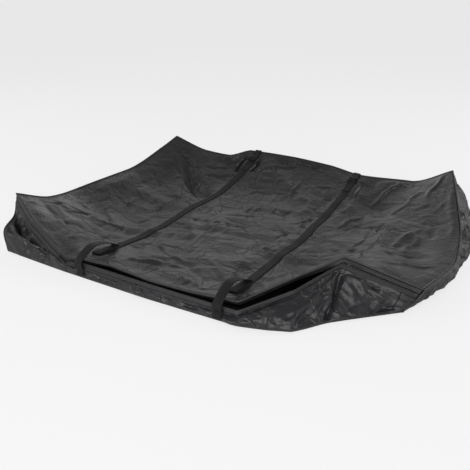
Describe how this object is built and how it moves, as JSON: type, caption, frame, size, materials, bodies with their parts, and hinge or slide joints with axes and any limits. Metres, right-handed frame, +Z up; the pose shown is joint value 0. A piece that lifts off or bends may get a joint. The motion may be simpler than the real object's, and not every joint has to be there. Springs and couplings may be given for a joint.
{
  "type": "rooftop cargo bag",
  "caption": "Soft box-shaped rooftop cargo bag, empty and collapsed: coated cloth lid, walls and base, open front zip, webbing straps with ladder-lock buckles.",
  "frame": {"origin": "centre of the base panel, on its underside", "axes": "+X along the bag's length, +Y from the zip side (front) to the buckle side (back), +Z up"},
  "size_m": [1.2866, 1.0824, 0.1522],
  "materials": {
    "coated_cloth": "thin black coated polyester with a satin sheen",
    "base_cloth": "heavier coated polyester",
    "binding_tape": "woven polyester binding and zip tape",
    "webbing": "woven polyester webbing, matt",
    "buckle_plastic": "black moulded plastic, fine grain",
    "zip_coil": "black coil",
    "slider_paint": "black painted cast slider"
  },
  "bodies": {
    "bag": {"base_panel": "base_cloth", "lid_panel": "coated_cloth", "front_wall": "coated_cloth", "back_wall": "coated_cloth", "left_wall": "coated_cloth", "right_wall": "coated_cloth", "lid_piping": "binding_tape", "base_seam_binding": "binding_tape", "corner_piping_front_left": "binding_tape", "corner_piping_front_right": "binding_tape", "corner_piping_back_right": "binding_tape", "corner_piping_back_left": "binding_tape", "zip_tape_upper": "binding_tape", "zip_tape_lower": "binding_tape", "zip_coil_upper": "zip_coil", "zip_coil_lower": "zip_coil", "strap_left": "webbing", "strap_right": "webbing", "strap_anchor_left": "webbing", "strap_anchor_right": "webbing", "buckle_left": "buckle_plastic", "buckle_right": "buckle_plastic"},
    "slider_left": {"zip_slider_left": "slider_paint"},
    "pull_left": {"zip_pull_left": "buckle_plastic"},
    "slider_right": {"zip_slider_right": "slider_paint"},
    "pull_right": {"zip_pull_right": "buckle_plastic"}
  },
  "joints": [
    {"name": "zip_slide_left", "type": "slide", "parent": "bag", "child": "slider_left", "axis": [-0.9123, 0.218, 0.3466], "range_m": [0, 0.08]},
    {"name": "zip_pull_left_swing", "type": "hinge", "parent": "slider_left", "child": "pull_left", "pos_m": [-0.28872, -0.51505, 0.04408], "axis": [-0.3936, -0.2339, -0.889], "range_deg": [0, 170]},
    {"name": "zip_slide_right", "type": "slide", "parent": "bag", "child": "slider_right", "axis": [0.9282, 0.2205, -0.2996], "range_m": [0, 0.08]},
    {"name": "zip_pull_right_swing", "type": "hinge", "parent": "slider_right", "child": "pull_right", "pos_m": [0.4485, -0.29404, 0.10701], "axis": [-0.0568, -0.7119, -0.7], "range_deg": [0, 170]}
  ]
}
